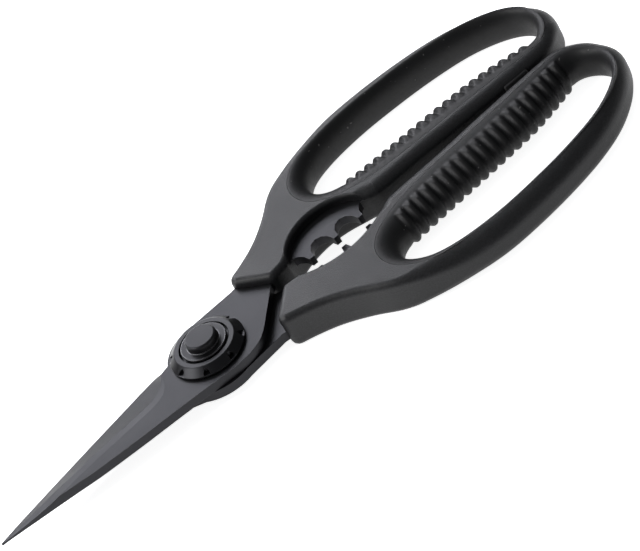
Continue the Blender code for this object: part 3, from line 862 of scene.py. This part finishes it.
def build_button():
    """The release button: a tall boss on a thin flange."""
    profile = [
        (0.0, BUTTON_TOP), (0.0, FLANGE_FOOT), (FLANGE_R, FLANGE_FOOT), (FLANGE_R, FLANGE_TOP),
        (BOSS_R, FLANGE_TOP), (BOSS_R, BUTTON_TOP),
    ]
    radii = [0.0, 0.0, 0.1, 0.28, 0.2, 0.75]
    made = lathe("release_button_fine", rounded(profile, radii, 6))
    soften(made, 0.04, 1, 50.0)
    return bake_modifiers(made)


# ---------------------------------------------------------------- materials


class Nodes:
    """Short calls for building one material's node tree."""

    def __init__(self, name):
        self.material = bpy.data.materials.new(name)
        self.material.use_nodes = True
        self.tree = self.material.node_tree
        self.shader = self.tree.nodes["Principled BSDF"]
        self.coords = self.tree.nodes.new("ShaderNodeTexCoord").outputs["Object"]

    def link(self, source, target):
        self.tree.links.new(source, target)

    def noise(self, scale, detail=3.0, stretch=(1.0, 1.0, 1.0), roughness=0.5):
        mapping = self.tree.nodes.new("ShaderNodeMapping")
        mapping.inputs["Scale"].default_value = stretch
        self.link(self.coords, mapping.inputs["Vector"])
        made = self.tree.nodes.new("ShaderNodeTexNoise")
        made.inputs["Scale"].default_value = scale
        made.inputs["Detail"].default_value = detail
        made.inputs["Roughness"].default_value = roughness
        self.link(mapping.outputs["Vector"], made.inputs["Vector"])
        return made.outputs["Fac"]

    def range(self, value, low, high, to_low, to_high):
        made = self.tree.nodes.new("ShaderNodeMapRange")
        limits = (("From Min", low), ("From Max", high), ("To Min", to_low), ("To Max", to_high))
        for name, number in limits:
            made.inputs[name].default_value = number
        self.link(value, made.inputs["Value"])
        return made.outputs["Result"]

    def mix(self, share, first, second):
        made = self.tree.nodes.new("ShaderNodeMix")
        made.data_type = "RGBA"
        colours_in = [socket for socket in made.inputs if socket.type == "RGBA"]
        self.link(share, made.inputs["Factor"])
        for socket, colour in zip(colours_in, (first, second)):
            if isinstance(colour, tuple):
                socket.default_value = (*colour, 1.0)
            else:
                self.link(colour, socket)
        return next(socket for socket in made.outputs if socket.type == "RGBA")

    def math(self, operation, first, second):
        made = self.tree.nodes.new("ShaderNodeMath")
        made.operation = operation
        for socket, value in zip(made.inputs, (first, second)):
            if isinstance(value, float):
                socket.default_value = value
            else:
                self.link(value, socket)
        return made.outputs["Value"]

    def edges(self, reach=0.45, low=0.02, high=0.14):
        """1 on edges and corners, 0 on flat stretches: how far a rounded normal strays."""
        geometry = self.tree.nodes.new("ShaderNodeNewGeometry")
        bevel = self.tree.nodes.new("ShaderNodeBevel")
        bevel.samples = 6
        bevel.inputs["Radius"].default_value = reach * MM
        product = self.tree.nodes.new("ShaderNodeVectorMath")
        product.operation = "DOT_PRODUCT"
        self.link(geometry.outputs["Normal"], product.inputs[0])
        self.link(bevel.outputs["Normal"], product.inputs[1])
        return self.range(self.math("SUBTRACT", 1.0, product.outputs["Value"]), low, high, 0.0, 1.0)

    def bump(self, height, strength, distance, after=None):
        made = self.tree.nodes.new("ShaderNodeBump")
        made.inputs["Strength"].default_value = strength
        made.inputs["Distance"].default_value = distance * MM
        self.link(height, made.inputs["Height"])
        if after is not None:
            self.link(after, made.inputs["Normal"])
        return made.outputs["Normal"]

    def finish(self, colour, roughness, normal, metallic=0.0, specular=0.5):
        self.link(colour, self.shader.inputs["Base Color"])
        self.link(roughness, self.shader.inputs["Roughness"])
        self.link(normal, self.shader.inputs["Normal"])
        self.shader.inputs["Metallic"].default_value = metallic
        self.shader.inputs["Specular IOR Level"].default_value = specular
        return self.material


def hard_plastic():
    """Matte black moulded plastic with a fine spark-eroded grain, rubbed a little on its edges."""
    n = Nodes("hard_handle_plastic_fine")
    grain = n.noise(2100.0, 3.0, roughness=0.7)
    cloud = n.noise(60.0, 3.0)
    worn = n.math("MULTIPLY", n.edges(), n.range(cloud, 0.35, 0.65, 0.2, 1.0))
    tone = n.mix(n.range(grain, 0.35, 0.7, 0.0, 1.0), (0.0045, 0.0046, 0.0052), (0.014, 0.0144, 0.0158))
    colour = n.mix(worn, tone, (0.026, 0.026, 0.028))
    rough = n.math("ADD", n.range(cloud, 0.3, 0.7, 0.42, 0.48), n.range(grain, 0.3, 0.7, -0.05, 0.06))
    normal = n.bump(grain, 1.0, 0.09, n.bump(cloud, 0.05, 0.4))
    return n.finish(colour, rough, normal, specular=0.32)


def soft_rubber():
    """Soft-touch elastomer, smoother and darker than the plastic, with a little lint on it."""
    n = Nodes("soft_grip_rubber_fine")
    film = n.noise(900.0, 3.0)
    cloud = n.noise(45.0, 2.0)
    specks = n.noise(900.0, 0.0)
    dust = n.range(specks, 0.82, 0.86, 0.0, 1.0)
    rubbed = n.math("MULTIPLY", n.edges(0.5, 0.03, 0.2), n.range(cloud, 0.3, 0.6, 0.2, 0.8))
    tone = n.mix(n.range(cloud, 0.35, 0.65, 0.0, 1.0), (0.0045, 0.0045, 0.005), (0.0065, 0.0065, 0.007))
    colour = n.mix(dust, n.mix(rubbed, tone, (0.016, 0.016, 0.0165)), (0.07, 0.07, 0.068))
    rough = n.math("ADD", n.range(film, 0.3, 0.7, 0.47, 0.57), n.range(cloud, 0.3, 0.7, -0.03, 0.03))
    normal = n.bump(film, 0.25, 0.05)
    return n.finish(colour, rough, normal, specular=0.28)


def black_coat(name, base, roughness, along, rubbed, reach):
    """A satin black hard coat over ground steel, with fine lines from the grinding. Edges take the rubbed
    colour as wear; on the release button that colour is bright and wide, so there it is also a painted
    highlight on the boss's rounded rim.
    """
    n = Nodes(name)
    lines = n.noise(5200.0, 2.0, along)
    cloud = n.noise(70.0, 4.0)
    # Edge mask: wear on the blades and the ring; on the release button also a painted highlight along the
    # boss's rim.
    worn = n.math("MULTIPLY", n.edges(reach), n.range(cloud, 0.4, 0.62, 0.15, 0.9))
    tone = n.mix(
        n.range(cloud, 0.35, 0.65, 0.0, 1.0),
        (base * 0.93, base * 0.94, base * 1.02),
        (base * 1.05, base * 1.06, base * 1.16),
    )
    colour = n.mix(worn, tone, rubbed)
    rough = n.math(
        "ADD",
        n.range(lines, 0.3, 0.7, roughness - 0.03, roughness + 0.03),
        n.range(cloud, 0.3, 0.7, -0.03, 0.04),
    )
    normal = n.bump(lines, 0.10, 0.02)
    return n.finish(colour, rough, normal, metallic=0.9)


def bare_metal(name, colour, roughness):
    """Turned bare metal: rings about the pivot axis, a little tarnish."""
    n = Nodes(name)
    turned = n.noise(3000.0, 1.0, (1.0, 1.0, 0.2))
    cloud = n.noise(120.0, 3.0)
    dark = tuple(part * 0.78 for part in colour)
    tone = n.mix(n.range(cloud, 0.35, 0.7, 0.0, 1.0), colour, dark)
    rough = n.range(turned, 0.3, 0.7, roughness - 0.05, roughness + 0.07)
    normal = n.bump(turned, 0.08, 0.02)
    return n.finish(tone, rough, normal, metallic=1.0)


def plain_polymer(name, colour, roughness):
    """An even polymer with a fine grain, for the washer and the stop pads."""
    n = Nodes(name)
    cloud = n.noise(150.0, 4.0)
    grain = n.noise(2200.0, 2.0)
    dark = tuple(part * 0.8 for part in colour)
    tone = n.mix(n.range(cloud, 0.35, 0.7, 0.0, 1.0), colour, dark)
    rough = n.range(grain, 0.3, 0.7, roughness - 0.05, roughness + 0.05)
    normal = n.bump(grain, 0.15, 0.03)
    return n.finish(tone, rough, normal)


def paint(made, material):
    """The material becomes the object's only one."""
    made.data.materials.clear()
    made.data.materials.append(material)


def stand_in(made, node, material):
    """The new piece takes a CAD node's place, on its body and with its finish."""
    paint(made, material)
    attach(made, NODES[node]["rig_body"])
    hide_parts(node)


def keep_node(node, material, round_mm):
    """A CAD node that keeps its shape: fine bevels and its own material."""
    made = NODES[node]
    paint(made, material)
    made.data.shade_smooth()
    crisp(made.data)
    weld = made.modifiers.new("weld", "WELD")
    weld.merge_threshold = 1e-6
    flat = made.modifiers.new("flat_faces", "DECIMATE")
    flat.decimate_type = "DISSOLVE"
    flat.angle_limit = math.radians(0.6)
    soften(made, round_mm)


# ---------------------------------------------------------------- stage


def camera_axes():
    """The camera's own axes: away from the object, to its right and up."""
    a, e, r = (math.radians(v) for v in (AZIMUTH, ELEVATION, ROLL))
    back = Vector((math.sin(a) * math.cos(e), -math.cos(a) * math.cos(e), math.sin(e)))
    right = Vector((math.cos(a), math.sin(a), 0.0))
    up = back.cross(right)
    turned_right = math.cos(r) * right + math.sin(r) * up
    turned_up = -math.sin(r) * right + math.cos(r) * up
    return back, turned_right, turned_up


def make_camera():
    back, right, up = camera_axes()
    data = bpy.data.cameras.new("camera")
    data.lens = LENS
    data.sensor_width = SENSOR_WIDTH
    data.clip_start, data.clip_end = CLIP
    camera = bpy.data.objects.new("camera", data)
    turn = Matrix((right, up, back)).transposed()
    camera.matrix_world = Matrix.Translation(TARGET + back * CAMERA_DISTANCE) @ turn.to_4x4()
    bpy.context.scene.collection.objects.link(camera)
    bpy.context.scene.camera = camera


def softbox(name, place_at, aim, size, power, tint):
    data = bpy.data.lights.new(name, "AREA")
    data.shape = "RECTANGLE"
    data.size, data.size_y = size
    data.energy = power
    data.color = tint
    light = bpy.data.objects.new(name, data)
    light.location = place_at
    light.rotation_mode = "QUATERNION"
    light.rotation_quaternion = (Vector(aim) - Vector(place_at)).to_track_quat("-Z", "Y")
    bpy.context.scene.collection.objects.link(light)


def make_stage():
    world = bpy.data.worlds.new("studio")
    world.use_nodes = True
    background = world.node_tree.nodes["Background"]
    background.inputs["Color"].default_value = WORLD_TINT
    background.inputs["Strength"].default_value = WORLD_STRENGTH
    bpy.context.scene.world = world

    bm = bmesh.new()
    bmesh.ops.create_grid(bm, x_segments=1, y_segments=1, size=FLOOR_HALF)
    floor = mesh_object("floor", bm)
    n = Nodes("pale_floor")
    cloud = n.noise(3.0, 2.0)
    tone = n.mix(cloud, (0.93, 0.93, 0.93), (0.95, 0.95, 0.95))
    n.finish(tone, n.range(cloud, 0.0, 1.0, 0.75, 0.85), n.bump(cloud, 0.01, 0.1), specular=0.2)
    n.shader.inputs["Emission Color"].default_value = (1.0, 1.0, 1.0, 1.0)
    n.shader.inputs["Emission Strength"].default_value = FLOOR_GLOW
    paint(floor, n.material)

    for box in SOFTBOXES:
        softbox(*box)
    view = bpy.context.scene.view_settings
    view.view_transform = "Standard"
    view.look = "None"
    view.exposure = 0.0


# ---------------------------------------------------------------- making


def main():
    hard = hard_plastic()
    soft = soft_rubber()
    coat = black_coat(
        "coated_blade_steel_fine", 0.027, 0.45, (0.12, 1.0, 1.0), (0.13, 0.13, 0.135), 0.3
    )
    ring_black = black_coat(
        "tension_ring_coat", 0.016, 0.34, (1.0, 1.0, 0.3), (0.10, 0.10, 0.105), 0.25
    )
    # The button's bright edge colour over a 0.8 mm reach is partly wear and partly a painted highlight on
    # the boss's rounded rim.
    button_coat_wear_and_painted_highlight = black_coat(
        "release_button_coat_wear_and_painted_highlight", 0.016, 0.38, (1.0, 1.0, 0.3), (0.30, 0.30, 0.31), 0.8
    )
    steel = bare_metal("bare_steel_fine", (0.46, 0.47, 0.49), 0.32)
    bronze = bare_metal("bush_bronze_fine", (0.55, 0.38, 0.16), 0.38)
    nylon = plain_polymer("washer_nylon_fine", (0.68, 0.68, 0.64), 0.5)
    pad = plain_polymer("buffer_rubber_fine", (0.02, 0.02, 0.021), 0.62)
    for word, side in (("far", 1.0), ("near", -1.0)):
        stand_in(build_handle(f"{word}_handle", side), f"{word}_handle", hard)
        stand_in(build_grip(f"{word}_grip", side), f"{word}_grip", soft)
        stand_in(build_buffer(f"{word}_buffer", side), f"{word}_buffer", pad)
    stand_in(build_ring(), "tension_ring", ring_black)
    stand_in(build_button(), "release_button", button_coat_wear_and_painted_highlight)
    stand_in(build_upper_blade(), "upper_blade", coat)
    stand_in(build_lower_blade(), "lower_blade", coat)
    for node, material, edge in (
        ("pivot_stud", steel, 0.2),
        ("pivot_bush", bronze, 0.1),
        ("blade_washer", nylon, 0.05),
        ("spring_washer", steel, 0.05),
        ("button_screw", steel, 0.05),
        ("button_spring", steel, 0.02),
    ):
        keep_node(node, material, edge)
    make_camera()
    make_stage()


main()
